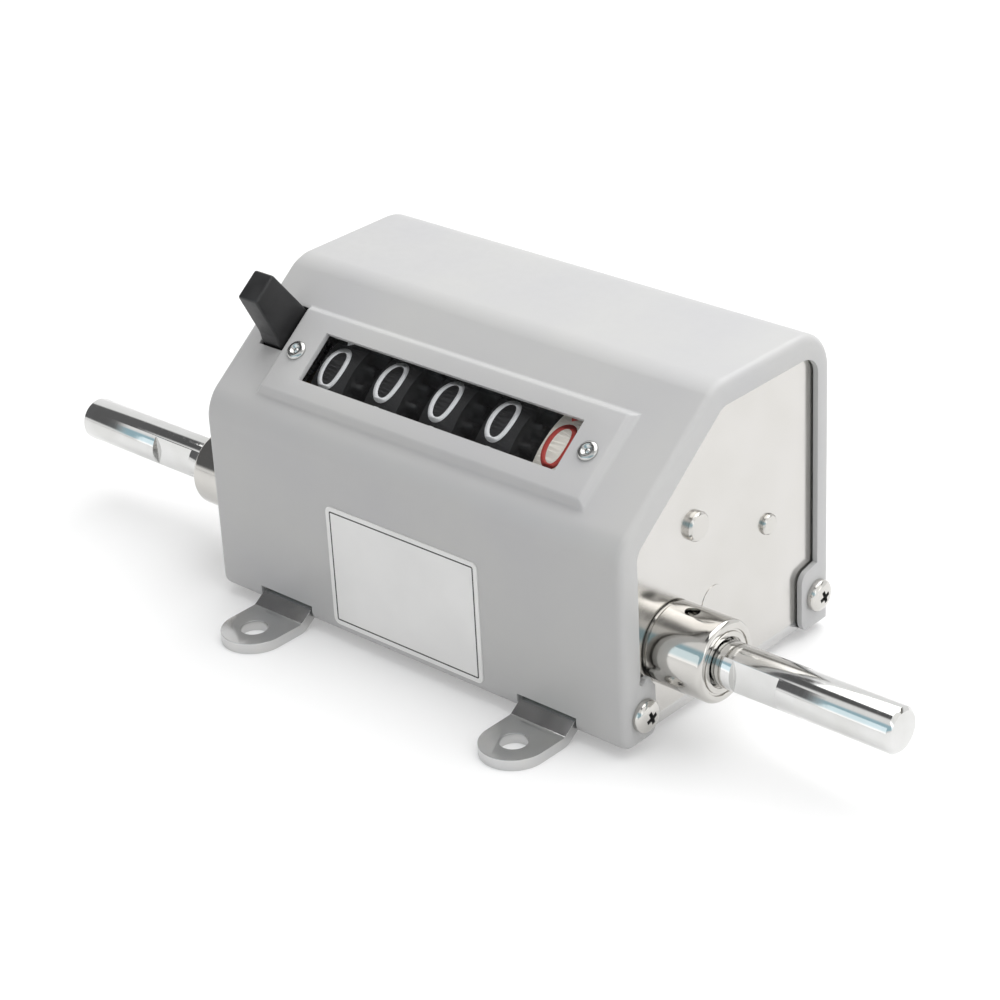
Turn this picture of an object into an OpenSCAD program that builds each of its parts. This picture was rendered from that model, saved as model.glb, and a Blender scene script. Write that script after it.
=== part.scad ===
// Mechanical length counter: five number wheels driven by a through shaft,
// set to zero by a push key, in a sheet-metal case on four foot lugs.
// Right is +X along the shaft, the front wall faces -Y, +Z is up.
// The origin is the middle of the four lug holes, on the table.

/* [Case] */
// Width over the end flanges of the cover
case_w = 95.6; // [90:0.2:104]
// Depth from front wall to back wall
case_d = 56.2; // [54:0.2:62]
// Angle of the sloping face to the table
slope = 37.5; // [34:0.5:41]
// Depth of the flat top, from its front bend to the back wall
top_flat = 30.8; // [28:0.1:33]
// Thickness of the cover's sheet
sheet = 1; // [0.8:0.05:1.1]
// Width of the inward end flanges
flange_w = 4.4; // [3.8:0.1:5]
// Radius of the rounded edge between the faces and the end flanges
flange_edge_r = 2; // [1.6:0.1:2.3]

/* [Window] */
// Height of the window opening, measured up the slope
window_h = 9.8; // [8:0.1:11]
// Height by which the bezel stands out of the sloping face
bezel_rise = 1.5; // [1.3:0.1:1.7]
// Thickness of the clear pane
pane_t = 0.9; // [0.6:0.05:1]

/* [Shaft] */
// Diameter of the drive shaft
shaft_d = 8; // [7:0.1:9]
// Length of shaft outside the cover on the right
shaft_out_right = 44.4; // [38:0.2:60]
// Length of shaft outside the cover on the left
shaft_out_left = 48.7; // [42:0.2:60]
// Distance of the shaft axis behind the front wall
shaft_setback = 13.9; // [13:0.1:15]
// Clearance between the drive gear and the floor of the base
gear_clear = 1.15; // [0.4:0.05:3]
// Outer diameter of the bearing bushes
bush_d = 14.4; // [13:0.1:16]

/* [Number wheels] */
// Diameter of the number wheels
wheel_d = 30; // [27:0.2:33]
// Diameter of the fixed rod that carries the wheels
arbor_d = 5.2; // [4.6:0.1:5.8]

/* [Reset] */
// Travel of the reset key
key_travel = 5; // [4.4:0.1:5.5]
// Height of the key above the sloping face
key_h = 11.5; // [10:0.1:14]
// Diameter of the rocking shaft of the reset frame
rock_d = 3.7; // [3.3:0.1:4]

/* [Base] */
// Radius of the rounded lug ends
lug_r = 6; // [5.4:0.1:6.6]
// Diameter of the mounting holes
lug_hole_d = 5; // [4.2:0.1:5.6]
// Distance between the lug holes along the front
lug_span_x = 61.8; // [54:0.2:68]
// Distance of the lug holes outside the front and back walls
lug_out = 8.3; // [7.5:0.1:12]

/* [Hidden] */
$fn = 64;
slack = 0.06;          // radial clearance of a running fit
air = 0.3;             // clearance between parts that pass each other

// Walls, side plates and floor
front_y = -case_d / 2;
back_y = case_d / 2;
plate_t = 1.6;
plate_out = case_w / 2 - sheet - air;
plate_in = plate_out - plate_t;
foot_rivet = [plate_in - 3.1, 17];    // rivets through the feet of the plates, x and y
floor_t = 2;
floor_z = 2.2;
floor_top = floor_z + floor_t;

// Shafts across the case, as points of the section plane
shaft_r = shaft_d / 2;
wheel_r = wheel_d / 2;
arbor_r = arbor_d / 2;
rock_r = rock_d / 2;
wheel_over_shaft = 0.73;
wheel_under_face = 0.95;
drive_dist = wheel_r + shaft_r + wheel_over_shaft;
drive_dir = 69.7;
drive_teeth = 20;
drive_mod = drive_dist / drive_teeth;
shaft_z = floor_top + gear_clear + drive_mod * (drive_teeth / 2 + 1);
shaft_at = [front_y + shaft_setback, shaft_z];
arbor_at = shaft_at + polar(drive_dist, drive_dir);
rock_out = 6.04;       // rocking shaft outside the wheels
rock_at = arbor_at + polar(wheel_r + rock_out, -22.37);

// Section of the case: the sloping face lies just clear of the wheels
cover_z = 1.5;         // lower edge of the cover
curl_r = 2.2;          // lower front edge, rolled inward
face_off = wheel_r + wheel_under_face;
front_h = arbor_at[1] + face_off / cos(slope) - (arbor_at[0] - front_y) * tan(slope);
case_h = front_h + (case_d - top_flat) * tan(slope);
bends = [[front_y, cover_z, 0], [front_y, front_h, 7], [back_y - top_flat, case_h, 7],
    [back_y, case_h, 8], [back_y, cover_z, 0]];
headings = [90, slope, 0, -90];
window_s = to_slope(arbor_at)[0];  // middle of the window, measured up the slope

// Carry gearing: wheel gears of 20 teeth, pinions of 8
wheel_teeth = 20;
pinion_teeth = 8;
carry_mod = wheel_r / 12;
carry_press = 28;
carry_ha = 0.85;
carry_hf = 1.05;
carry_play = 0.22;
carry_dist = carry_mod * (wheel_teeth + pinion_teeth) / 2;
pinion_dir = -74.24;
pinion_at = arbor_at + polar(carry_dist, pinion_dir);
pinion_rod_r = 1.5;
lock_r = 10.32 * carry_mod;

// Places along a number wheel, from the middle of its number band
wheel_count = 5;
ends_w = 31.1;         // width that the wheels leave for plates, key and drive gears
wheel_pitch = (case_w - ends_w) / wheel_count;
band_left = -0.256 * wheel_pitch;
band_right = 0.333 * wheel_pitch;
gear_end = 0.481 * wheel_pitch;
cam_end = 0.593 * wheel_pitch;
hub_start = cam_end + 0.25 - wheel_pitch;
last_cam = 2 * wheel_pitch + cam_end;
washer_x = last_cam + 0.1;
washer_t = 0.6;
input_x = washer_x + washer_t + 0.1;
input_t = 3.6;
input_hub_end = input_x + input_t + 1.4;
first_hub = -2 * wheel_pitch + hub_start;

// Reset frame, key and blade
arm = norm(pinion_at - rock_at);
swing = key_travel / arm * 180 / PI;
cam_low = 0.307 * wheel_r;
cam_high = 0.533 * wheel_r;
finger_half = 1.6;
finger_gap = 0.4;
finger_reach = cam_high + finger_gap + finger_half;
wheel_seen = arbor_at - rock_at;
finger_dir = heading(wheel_seen) - asin(finger_reach / norm(wheel_seen)) - swing;
finger_len = sqrt(norm(wheel_seen) ^ 2 - finger_reach ^ 2) + 1.2;
tube_r = rock_r + 1.35;
blade_t = 1.5;
blade_x = -plate_in + 3.3;
arm_left_x = blade_x + blade_t + 4.1;
arm_t = 1.4;
arm_right_x = 2 * wheel_pitch + band_right + 0.6;
key_w = 4.7;
key_x = blade_x + blade_t / 2 - key_w / 2 + 0.3;
key_low = window_s;    // lower and upper edge of the key, up the slope
key_high = window_s + 8.5;
key_in = 4.5;          // depth of the key under the sloping face
arbor_s = to_slope(arbor_at);
pin_s = to_slope(pinion_at);
spring_s = pin_s[0];
post_h = -9.5;
stud_h = pin_s[1] + 4.7;
spring_x = (blade_x - plate_in) / 2;

function unit(v) = v / norm(v);
function polar(r, a) = [r * cos(a), r * sin(a)];
function heading(v) = atan2(v[1], v[0]);
// Section points to and from lengths along and above the sloping face
function from_slope(p) = [front_y + p[0] * cos(slope) - p[1] * sin(slope),
    front_h + p[0] * sin(slope) + p[1] * cos(slope)];
function to_slope(p) = let (v = p - [front_y, front_h])
    [v[0] * cos(slope) + v[1] * sin(slope), v[1] * cos(slope) - v[0] * sin(slope)];

// Corners of the case section, and its outline moved inward by e with the bends cut straight
function spot(i) = let (b = bends[i % 5]) [b[0], b[1]];
function turn_at(i) = headings[i - 1] - headings[i];
function bend_length(i) = bends[i][2] * tan(turn_at(i) / 2) - 0.2;
function inward(i) = unit(unit(spot(i + 4) - spot(i)) + unit(spot(i + 1) - spot(i)));
function corner_half(i) = let (a = unit(spot(i + 4) - spot(i)), b = unit(spot(i + 1) - spot(i)))
    acos(a * b) / 2;
function sharp(i, e) = spot(i) + inward(i) * e / sin(corner_half(i));
function cut_corner(i, e) = let (cut = (bends[i][2] - e) * tan(90 - corner_half(i)), p = sharp(i, e))
    bends[i][2] > e
    ? [p + unit(spot(i + 4) - spot(i)) * cut, p + unit(spot(i + 1) - spot(i)) * cut]
    : [p];
function case_outline(e) = [for (i = [0:4]) each cut_corner(i, e)];

// Involute teeth
function inv(a) = tan(a) * 180 / PI - a;
function tooth_half(r, m, n, press, play) =
    90 / n - play / (m * n) * 180 / PI / 2 + inv(press) - inv(acos(min(1, m * n / 2 * cos(press) / r)));
function flank(m, n, press, ha, play, steps) =
    let (base = m * n / 2 * cos(press), tip = m * (n / 2 + ha))
    [for (k = [0:steps]) let (r = base + (tip - base) * k / steps)
        [r, tooth_half(r, m, n, press, play)]];
function gear_points(m, n, press, ha, hf, play, turn) =
    let (f = flank(m, n, press, ha, play, 4), root = m * (n / 2 - hf), last = len(f) - 1)
    [for (t = [0:n - 1], p = concat(
        [polar(min(root, f[0][0]), turn + t * 360 / n - f[0][1])],
        [for (q = f) polar(q[0], turn + t * 360 / n - q[1])],
        [for (k = [last:-1:0]) polar(f[k][0], turn + t * 360 / n + f[k][1])],
        [polar(min(root, f[0][0]), turn + t * 360 / n + f[0][1])])) p];

// Lays a flat outline, drawn in the section plane, between two places along X
module across(x0, x1, at = [0, 0]) {
    translate([x0, at[0], at[1]]) rotate([90, 0, 90]) linear_extrude(x1 - x0) children();
}
module rod(x0, x1, at, r) {
    translate([x0, at[0], at[1]]) rotate([0, 90, 0]) cylinder(h = x1 - x0, r = r);
}
module tube(x0, x1, at, r, bore_r) {
    difference() {
        rod(x0, x1, at, r);
        rod(x0 - 1, x1 + 1, at, bore_r);
    }
}
// Turns an outline of [radius, x] points about an axis along X
module turned(at) {
    translate([0, at[0], at[1]]) rotate([0, 90, 0]) rotate_extrude() children();
}
module on_slope() {
    translate([0, front_y, front_h]) rotate([slope, 0, 0]) children();
}
module both_ends() {
    children();
    mirror([1, 0, 0]) children();
}
module four_corners() {
    both_ends() {
        children();
        mirror([0, 1, 0]) children();
    }
}

// Section of the cover's sheet with a flange turned in at each end, X along the shaft and Y
// inward. Bends are a hair thicker than the flats, which run a little way into them.
module cover_strip(hair = 0) {
    half = case_w / 2;
    edge = flange_edge_r;
    skin = sheet + hair;
    difference() {
        translate([-half - hair, -hair]) square([2 * (half + hair), flange_w + 2 * hair]);
        translate([skin - half, edge]) square([2 * (half - skin), flange_w]);
        translate([edge - half, skin]) square([2 * (half - edge), flange_w]);
        for (side = [-1, 1]) translate([side * (half - edge), edge]) {
            circle(r = edge - skin);
            difference() {
                translate([side > 0 ? 0 : -edge - 1, -edge - 1]) square(edge + 1);
                circle(r = edge + hair);
            }
        }
    }
}
// Flat stretch of the cover from corner i to the next, and the bend at corner i
module cover_flat(i, before, after) {
    dir = unit(spot(i + 1) - spot(i));
    start = spot(i) + dir * before;
    translate([0, start[0], start[1]]) rotate([headings[i] - 90, 0, 0])
        linear_extrude(norm(spot(i + 1) - spot(i)) - before - after) cover_strip();
}
module cover_bend(i) {
    r = bends[i][2];
    middle = spot(i) + inward(i) * r / sin(corner_half(i));
    translate([0, middle[0], middle[1]]) rotate([headings[i] + 90, 0, 0]) rotate([90, 0, 90])
        rotate_extrude(angle = turn_at(i)) translate([r, 0]) rotate(90) cover_strip(0.02);
}

// Block with four sloping sides on the sloping face, its sides moved inward by less
module bezel_block(less, low, high) {
    lean = bezel_lean / bezel_rise;
    w = bezel_half_w - less;
    s = bezel_half_h - less;
    translate([0, window_s, 0]) intersection() {
        rotate([90, 0, 90]) translate([0, 0, -w - 5]) linear_extrude(2 * w + 10)
            polygon([[lean * low - s, low], [s - lean * low, low], [s - lean * high, high],
                [lean * high - s, high]]);
        translate([0, s + 5, 0]) rotate([90, 0, 0]) linear_extrude(2 * s + 10)
            polygon([[lean * low - w, low], [w - lean * low, low], [w - lean * high, high],
                [lean * high - w, high]]);
    }
}
window_w = 4 * wheel_pitch + 7.4;
bezel_half_w = -key_x - key_w - 0.6;
bezel_half_h = window_h / 2 + 4.4;
bezel_lean = 1.3;
pane_half_w = bezel_half_w - sheet - 1.4;
pane_half_h = bezel_half_h - sheet - 1.1;
window_rivet_x = bezel_half_w - 4.2;
tab_screw_front = [front_y + 4.9, 6.9];
tab_screw_rear = [back_y - 3.7, 8];
notch_half = lug_r + 0.5;

module cover() color([0.76, 0.76, 0.76]) {
    side_lean = norm([1, bezel_lean / bezel_rise]);
    difference() {
        union() {
            cover_flat(0, curl_r, bend_length(1));
            cover_bend(1);
            cover_flat(1, bend_length(1), bend_length(2));
            cover_bend(2);
            cover_flat(2, bend_length(2), bend_length(3));
            cover_bend(3);
            cover_flat(3, bend_length(3), 0);
            across(-plate_out, plate_out, [front_y + curl_r, cover_z + curl_r])
                intersection() {
                    difference() {
                        circle(r = curl_r);
                        circle(r = curl_r - sheet);
                    }
                    translate([-curl_r - 1, -curl_r - 1]) square(curl_r + 1);
                }
            both_ends() across(case_w / 2 - sheet, case_w / 2) {
                translate([front_y + flange_edge_r, cover_z + 0.6])
                    square([8.1 - flange_edge_r, 11.1]);
                polygon([[back_y - flange_edge_r, cover_z + 0.6], [back_y - 6.8, cover_z + 0.6],
                    [back_y - 8, cover_z + 1.8], [back_y - 8, 21.4], [back_y - flange_w, 23],
                    [back_y - flange_edge_r, 23]]);
            }
            on_slope() bezel_block(0, -sheet / 2, bezel_rise);
        }
        on_slope() {
            bezel_block(sheet * side_lean, -2 * sheet, bezel_rise - sheet);
            translate([-window_w / 2, window_s - window_h / 2, -3])
                cube([window_w, window_h, 9]);
            translate([key_x - 0.4, key_low - 0.4, -6])
                cube([key_w + 0.8, key_high - key_low + 0.8, 9]);
            both_ends() translate([window_rivet_x, window_s, -3]) cylinder(h = 9, r = 1);
        }
        both_ends() {
            for (at = [tab_screw_front, tab_screw_rear]) {
                rod(case_w / 2 - 4, case_w / 2 + 1, at, 1.6);
            }
            rod(case_w / 2 - 4, case_w / 2 + 1, [front_y + 4.9, cover_z + 11.7], 0.8);
            rod(case_w / 2 - 4, case_w / 2 + 1, shaft_at, bush_r + 0.5);
            for (y = [front_y - 1, back_y - sheet - 0.5]) {
                translate([lug_span_x / 2 - notch_half, y, 0]) cube([2 * notch_half, 4.2, 4.7]);
            }
        }
    }
}

module window_pane() color([0.85, 0.92, 0.95, 0.35]) on_slope() {
    difference() {
        translate([-pane_half_w, window_s - pane_half_h, bezel_rise - sheet - pane_t])
            cube([2 * pane_half_w, 2 * pane_half_h, pane_t]);
        both_ends() translate([window_rivet_x, window_s, -3]) cylinder(h = 9, r = 1);
    }
}
// Domed head of height h and radius r, standing on z = 0
module dome(r, h) {
    ball = (r * r + h * h) / (2 * h);
    intersection() {
        translate([0, 0, h - ball]) sphere(r = ball);
        cylinder(h = h, r = r);
    }
}
module window_rivets() color([0.75, 0.75, 0.74]) on_slope() {
    low = bezel_rise - sheet - pane_t;
    both_ends() translate([window_rivet_x, window_s, 0]) {
        translate([0, 0, bezel_rise]) dome(1.9, 0.75);
        translate([0, 0, low]) cylinder(h = bezel_rise - low, r = 1);
        translate([0, 0, low - 0.4]) cylinder(h = 0.4, r = 1.6);
    }
}

label_w = 35.4;
label_h = 23.3;
label_x = -0.8;
label_t = 0.2;
module label_plate() color([0.93, 0.93, 0.92]) {
    corner = 1;
    translate([label_x - label_w / 2, front_y, 3.7]) rotate([90, 0, 0]) linear_extrude(label_t) {
        translate([corner, 0]) square([label_w - 2 * corner, label_h]);
        translate([0, corner]) square([label_w, label_h - 2 * corner]);
        for (x = [corner, label_w - corner], z = [corner, label_h - corner]) {
            translate([x, z]) circle(r = corner);
        }
    }
}

// Cross-head screw along +X, its head seated at x = 0
module pan_screw(head_r, head_h, shank_r, shank_l) {
    rotate([0, 90, 0]) difference() {
        union() {
            cylinder(h = head_h * 0.45, r = head_r);
            translate([0, 0, head_h * 0.45]) dome(head_r, head_h * 0.55);
            translate([0, 0, -shank_l]) cylinder(h = shank_l, r = shank_r);
        }
        for (turn = [20, 110]) rotate([0, 0, turn]) {
            translate([-head_r * 0.55, -0.35, head_h * 0.35]) cube([head_r * 1.1, 0.7, head_h]);
        }
    }
}
module cover_screws() color([0.8, 0.79, 0.77]) both_ends() {
    for (at = [tab_screw_front, tab_screw_rear]) {
        translate([case_w / 2, at[0], at[1]]) pan_screw(2.9, 1.9, 1.5, 4.4);
    }
}

// Base sheet with four lugs set down to the table
module base_plate() color([0.55, 0.55, 0.54]) {
    hole_y = back_y + lug_out;
    step_in = back_y - 1;
    difference() {
        union() {
            translate([-plate_out, front_y + curl_r + 0.4, floor_z])
                cube([2 * plate_out, case_d - curl_r - 0.4 - sheet - 0.3, floor_t]);
            four_corners() translate([lug_span_x / 2, 0, 0]) {
                rotate([90, 0, 90]) translate([0, 0, -lug_r]) linear_extrude(2 * lug_r)
                    polygon([[step_in - 4, floor_z], [step_in - 0.2, floor_z],
                        [step_in + 3, 0], [hole_y, 0], [hole_y, floor_t],
                        [step_in + 3.4, floor_t], [step_in + 0.2, floor_top],
                        [step_in - 4, floor_top]]);
                translate([0, hole_y, 0]) cylinder(h = floor_t, r = lug_r);
            }
        }
        four_corners() {
            translate([lug_span_x / 2, hole_y, -1]) cylinder(h = 5, d = lug_hole_d);
            translate([foot_rivet[0], foot_rivet[1], 0]) cylinder(h = 9, r = 1.5);
        }
    }
}
module base_rivets() color([0.72, 0.72, 0.7]) four_corners() {
    translate([foot_rivet[0], foot_rivet[1], 0]) {
        translate([0, 0, floor_z]) cylinder(h = floor_t + plate_t, r = 1.5);
        translate([0, 0, floor_top + plate_t]) dome(2.6, 1.2);
        translate([0, 0, floor_z - 0.6]) cylinder(h = 0.6, r = 2.4);
    }
}

plug_at = pinion_at + [-0.2, 0.5];
plug_r = 3.1;
// Right-hand side plate, its foot turned inward onto the base sheet
module side_plate() {
    difference() {
        union() {
            intersection() {
                across(plate_in, plate_out) polygon(case_outline(sheet + 0.4));
                translate([0, -case_d, floor_top]) cube([case_w, 2 * case_d, case_h]);
            }
            translate([plate_in - 6.2, -22, floor_top]) cube([6.3, 44, plate_t]);
        }
        rod(0, case_w, shaft_at, bush_neck_r);
        rod(0, case_w, arbor_at, arbor_r);
        rod(0, case_w, rock_at, rock_r + slack);
        rod(0, case_w, plug_at, plug_r);
        for (at = [tab_screw_front, tab_screw_rear]) rod(plate_in - 1, case_w, at, 1.5);
        for (side = [-1, 1]) translate([foot_rivet[0], side * foot_rivet[1], 0]) cylinder(h = 12, r = 1.5);
    }
}
module side_plate_right() color([0.86, 0.85, 0.83]) side_plate();
module side_plate_left() color([0.86, 0.85, 0.83]) mirror([1, 0, 0]) difference() {
    side_plate();
    rod(0, case_w, post_at, 0.9);
}
module plate_plugs() color([0.82, 0.81, 0.79]) both_ends() {
    rod(plate_in, plate_out + 0.08, plug_at, plug_r);
}

// Bearing bushes: a round boss outside the plate and a threaded neck through it
bush_r = bush_d / 2;
bush_neck_r = shaft_r + 1;
bush_out_right = 11.5;
bush_out_left = 15;
bush_right_end = plate_out + bush_out_right;
bush_left_end = plate_out + bush_out_left;
bush_nut_t = 2.2;
module bush(end) {
    round_r = 0.9;
    difference() {
        turned(shaft_at) difference() {
            union() {
                polygon([[0, plate_in - bush_nut_t - 0.3], [bush_neck_r, plate_in - bush_nut_t - 0.3],
                    [bush_neck_r, plate_out], [bush_r - 0.5, plate_out], [bush_r - 0.5, plate_out + 0.5],
                    [bush_r, plate_out + 0.5], [bush_r, end - round_r],
                    [bush_r - round_r, end], [0, end]]);
                translate([bush_r - round_r, end - round_r]) circle(r = round_r);
            }
            translate([bush_r - 1.9, end - 0.35]) square([0.45, 1]);
            translate([-1, 0]) square([shaft_r + slack + 1, case_w]);
        }
        translate([end - 5.4, shaft_at[0], shaft_at[1]]) cylinder(h = bush_r + 1, r = 0.9);
    }
}
module bush_right() color([0.84, 0.83, 0.81]) bush(bush_right_end);
module bush_left() color([0.84, 0.83, 0.81]) mirror([1, 0, 0]) bush(bush_left_end);
module bush_nuts() color([0.7, 0.69, 0.66]) both_ends() difference() {
    translate([plate_in - bush_nut_t, shaft_at[0], shaft_at[1]]) rotate([0, 90, 0])
        cylinder(h = bush_nut_t, r = bush_neck_r + 2.6, $fn = 6);
    rod(0, case_w, shaft_at, bush_neck_r);
}

gear_hub_end = plate_in - bush_nut_t - 0.5;
gear_hub_r = shaft_r + 2.5;
pin_x = (input_x + input_t + gear_hub_end) / 2;
pin_r = 1;
flat_depth = 1.25;
shaft_right = case_w / 2 + shaft_out_right;
shaft_left = case_w / 2 + shaft_out_left;
groove_r = shaft_r - 0.2;  // grease groove at the mouth of each bush
groove_w = 1.2;
groove_out = 0.3;
module pin_hole() {
    translate([pin_x, shaft_at[0], shaft_z - shaft_d]) cylinder(h = 2 * shaft_d, r = pin_r);
}
module drive_shaft() color([0.78, 0.78, 0.77]) {
    chamfer = 0.6;
    left = -bush_left_end - groove_out;
    right = bush_right_end + groove_out;
    difference() {
        turned(shaft_at) polygon([[0, -shaft_left], [shaft_r - chamfer, -shaft_left],
            [shaft_r, chamfer - shaft_left], [shaft_r, left], [groove_r, left],
            [groove_r, left + groove_w], [shaft_r, left + groove_w],
            [shaft_r, right - groove_w], [groove_r, right - groove_w], [groove_r, right],
            [shaft_r, right], [shaft_r, shaft_right - chamfer],
            [shaft_r - chamfer, shaft_right], [0, shaft_right]]);
        for (x = [[shaft_right - 30.7, 9.1], [20.5 - shaft_left, 9.9]]) {
            translate([x[0], shaft_at[0] - shaft_r - 1, shaft_z - shaft_d])
                cube([x[1], 1 + flat_depth, 2 * shaft_d]);
        }
        pin_hole();
    }
}
module drive_gear() color([0.8, 0.66, 0.38]) difference() {
    union() {
        across(input_x, input_x + input_t, shaft_at)
            polygon(gear_points(drive_mod, drive_teeth, 20, 1, 1.25, 0.16, drive_dir));
        rod(input_x + input_t - 0.1, gear_hub_end, shaft_at, gear_hub_r);
    }
    rod(0, case_w, shaft_at, shaft_r);
    pin_hole();
}
module gear_pin() color([0.6, 0.6, 0.6]) {
    translate([pin_x, shaft_at[0], shaft_z - gear_hub_r - 0.4])
        cylinder(h = 2 * gear_hub_r + 0.8, r = pin_r);
}
collar_r = shaft_r + 1.6;
collar_x = -gear_hub_end;
module shaft_collar() color([0.6, 0.6, 0.58]) difference() {
    rod(collar_x, collar_x + 3.6, shaft_at, collar_r);
    rod(-case_w, case_w, shaft_at, shaft_r);
    translate([collar_x + 1.8, shaft_at[0], 0]) cylinder(h = shaft_z, r = 1.2);
}
module collar_screw() color([0.25, 0.25, 0.26]) difference() {
    translate([collar_x + 1.8, shaft_at[0], shaft_z - collar_r - 0.2])
        cylinder(h = collar_r + 0.2 - shaft_r - 0.05, r = 1.2);
    translate([collar_x + 1.8, shaft_at[0], shaft_z - collar_r - 0.3]) cylinder(h = 1, r = 0.7, $fn = 6);
}

module wheel_arbor() color([0.8, 0.79, 0.77]) {
    end = plate_out + 1.2;
    chamfer = 0.4;
    turned(arbor_at) polygon([[0, -end], [arbor_r - chamfer, -end], [arbor_r, chamfer - end],
        [arbor_r, end - chamfer], [arbor_r - chamfer, end], [0, end]]);
}
module spacer_left() color([0.8, 0.66, 0.38]) {
    tube(blade_x + blade_t + 0.15, first_hub - 0.1, arbor_at, 4.4, arbor_r);
}
module spacer_right() color([0.8, 0.66, 0.38]) {
    tube(input_hub_end + 0.1, plate_in, arbor_at, 4.4, arbor_r);
}
module clutch_washer() color([0.65, 0.66, 0.67]) {
    tube(washer_x, washer_x + washer_t, arbor_at, 7, arbor_r + slack);
}
module input_gear() color([0.8, 0.66, 0.38]) difference() {
    union() {
        across(input_x, input_x + input_t, arbor_at)
            polygon(gear_points(drive_mod, drive_teeth, 20, 1, 1.25, 0.16,
                drive_dir + 180 + 180 / drive_teeth));
        rod(input_x + input_t - 0.1, input_hub_end, arbor_at, 5);
    }
    rod(0, case_w, arbor_at, arbor_r + slack);
}

// Number wheel: number band, carry disc on its left, carry gear and heart cam on its right
module wheel_gear_outline() {
    polygon(gear_points(carry_mod, wheel_teeth, carry_press, carry_ha, carry_hf, carry_play,
        pinion_dir + 180 / wheel_teeth));
}
module carry_disc_outline() {
    segment = pinion_dir - 36;
    wedge = [[0, 0], polar(20, segment - 27), polar(24, segment), polar(20, segment + 27)];
    difference() {
        circle(r = lock_r);
        polygon(wedge);
    }
    intersection() {
        wheel_gear_outline();
        polygon(wedge);
    }
    circle(r = 9.5 * carry_mod);
}
module heart_cam() {
    low_dir = finger_dir + swing - 90;
    polygon([for (a = [-175:10:175])
        polar(cam_low + (cam_high - cam_low) * abs(a) / 180, low_dir + a)]);
}
module number_wheel(number) {
    x = (number - 3) * wheel_pitch;
    web = 2.1;
    hub_r = 6;
    difference() {
        union() {
            rod(x + hub_start, x + band_left + 0.1, arbor_at, hub_r);
            across(x + hub_start, x + band_left, arbor_at) carry_disc_outline();
            turned(arbor_at) difference() {
                translate([0, x + band_left]) square([wheel_r, band_right - band_left]);
                translate([hub_r, x + band_left + 0.4])
                    square([wheel_r - 2.4 - hub_r, band_right - band_left - web]);
            }
            across(x + band_right - 0.1, x + gear_end, arbor_at) {
                if (number < wheel_count) wheel_gear_outline();
                else circle(r = 11);
            }
            across(x + gear_end - 0.1, x + cam_end, arbor_at) heart_cam();
        }
        rod(-case_w, case_w, arbor_at, arbor_r + slack);
        for (turn = [0:90:270]) {
            rod(x + band_left + 2, x + gear_end + 1, arbor_at + polar(9.6, turn + 20), 1.2);
        }
    }
}
module wheel_1() color([0.13, 0.13, 0.14]) number_wheel(1);
module wheel_2() color([0.13, 0.13, 0.14]) number_wheel(2);
module wheel_3() color([0.13, 0.13, 0.14]) number_wheel(3);
module wheel_4() color([0.13, 0.13, 0.14]) number_wheel(4);
module wheel_5() color([0.9, 0.88, 0.84]) number_wheel(5);

// Carry pinion: every second tooth is wide; the teeth stop short of the next carry disc
pinion_from = band_right + air;
pinion_to = cam_end + 1.65;
module pinion(number) {
    x = (number - 3) * wheel_pitch;
    outline = gear_points(carry_mod, pinion_teeth, carry_press, carry_ha, carry_hf, carry_play,
        pinion_dir + 180);
    difference() {
        union() {
            across(x + pinion_from, x + gear_end - 0.1, pinion_at) polygon(outline);
            across(x + pinion_from, x + cam_end - 0.1, pinion_at) intersection() {
                polygon(outline);
                for (turn = [0, 90]) rotate(pinion_dir + turn) square([20, 2.7], center = true);
            }
            rod(x + pinion_from, x + pinion_to, pinion_at, 2.4);
        }
        rod(-case_w, case_w, pinion_at, pinion_rod_r + slack);
    }
}
module pinion_1() color([0.85, 0.84, 0.8]) pinion(1);
module pinion_2() color([0.85, 0.84, 0.8]) pinion(2);
module pinion_3() color([0.85, 0.84, 0.8]) pinion(3);
module pinion_4() color([0.85, 0.84, 0.8]) pinion(4);

module pinion_shaft() color([0.75, 0.75, 0.74]) {
    rod(blade_x - 0.5, arm_right_x + arm_t + 0.5, pinion_at, pinion_rod_r);
}
module pinion_spacers() color([0.72, 0.72, 0.7]) {
    starts = concat([arm_left_x + arm_t], [for (n = [1:4]) (n - 3) * wheel_pitch + pinion_to + 0.1]);
    ends = concat([for (n = [1:4]) (n - 3) * wheel_pitch + pinion_from - 0.1], [arm_right_x]);
    for (k = [0:4]) tube(starts[k], ends[k], pinion_at, 2, pinion_rod_r);
}
// End arm of the reset frame, from the rocking shaft to the pinion shaft
module frame_arm(x) {
    side = unit(pinion_at - rock_at);
    across_arm = [-side[1], side[0]];
    difference() {
        union() {
            rod(x, x + arm_t, rock_at, 5.4);
            rod(x, x + arm_t, pinion_at, 3.4);
            across(x, x + arm_t) polygon([rock_at + across_arm * 4.6, rock_at - across_arm * 4.6,
                pinion_at - across_arm * 2.9, pinion_at + across_arm * 2.9]);
        }
        rod(x - 1, x + arm_t + 1, rock_at, tube_r);
        rod(x - 1, x + arm_t + 1, pinion_at, pinion_rod_r);
    }
}
module frame_arm_left() color([0.62, 0.62, 0.6]) frame_arm(arm_left_x);
module frame_arm_right() color([0.62, 0.62, 0.6]) frame_arm(arm_right_x);
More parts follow.
